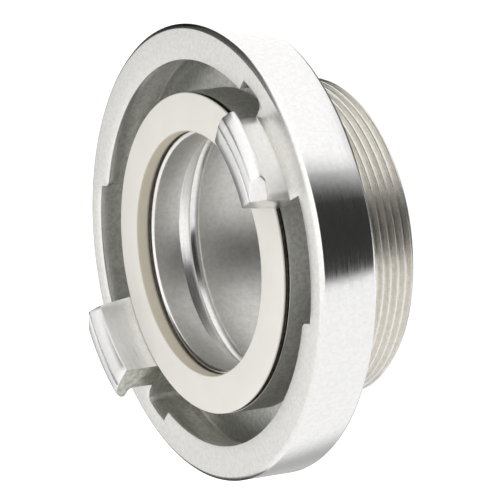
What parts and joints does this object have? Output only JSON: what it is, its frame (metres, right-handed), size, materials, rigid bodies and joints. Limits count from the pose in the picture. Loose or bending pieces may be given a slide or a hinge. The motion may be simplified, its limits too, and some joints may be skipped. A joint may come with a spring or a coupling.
{
  "type": "quarter turn fire hose coupling",
  "caption": "Fixed half of a quarter turn fire hose coupling: ring with slotted, undercut flange, hooked lugs, lip seal and a male pipe thread behind.",
  "frame": {"origin": "centre of the threaded end's face, on the waterway's axis", "axes": "+Z along the waterway from the threaded end to the mating face; +X through the free slot before the first lug, whose lug lies 30 degrees round towards +Y"},
  "size_m": [0.126, 0.126, 0.0526],
  "materials": {
    "aluminium": "machined, satin",
    "seal_rubber": "smooth, matt"
  },
  "bodies": {
    "root": {"coupling_body": "aluminium", "seal_ring": "seal_rubber"}
  },
  "joints": []
}
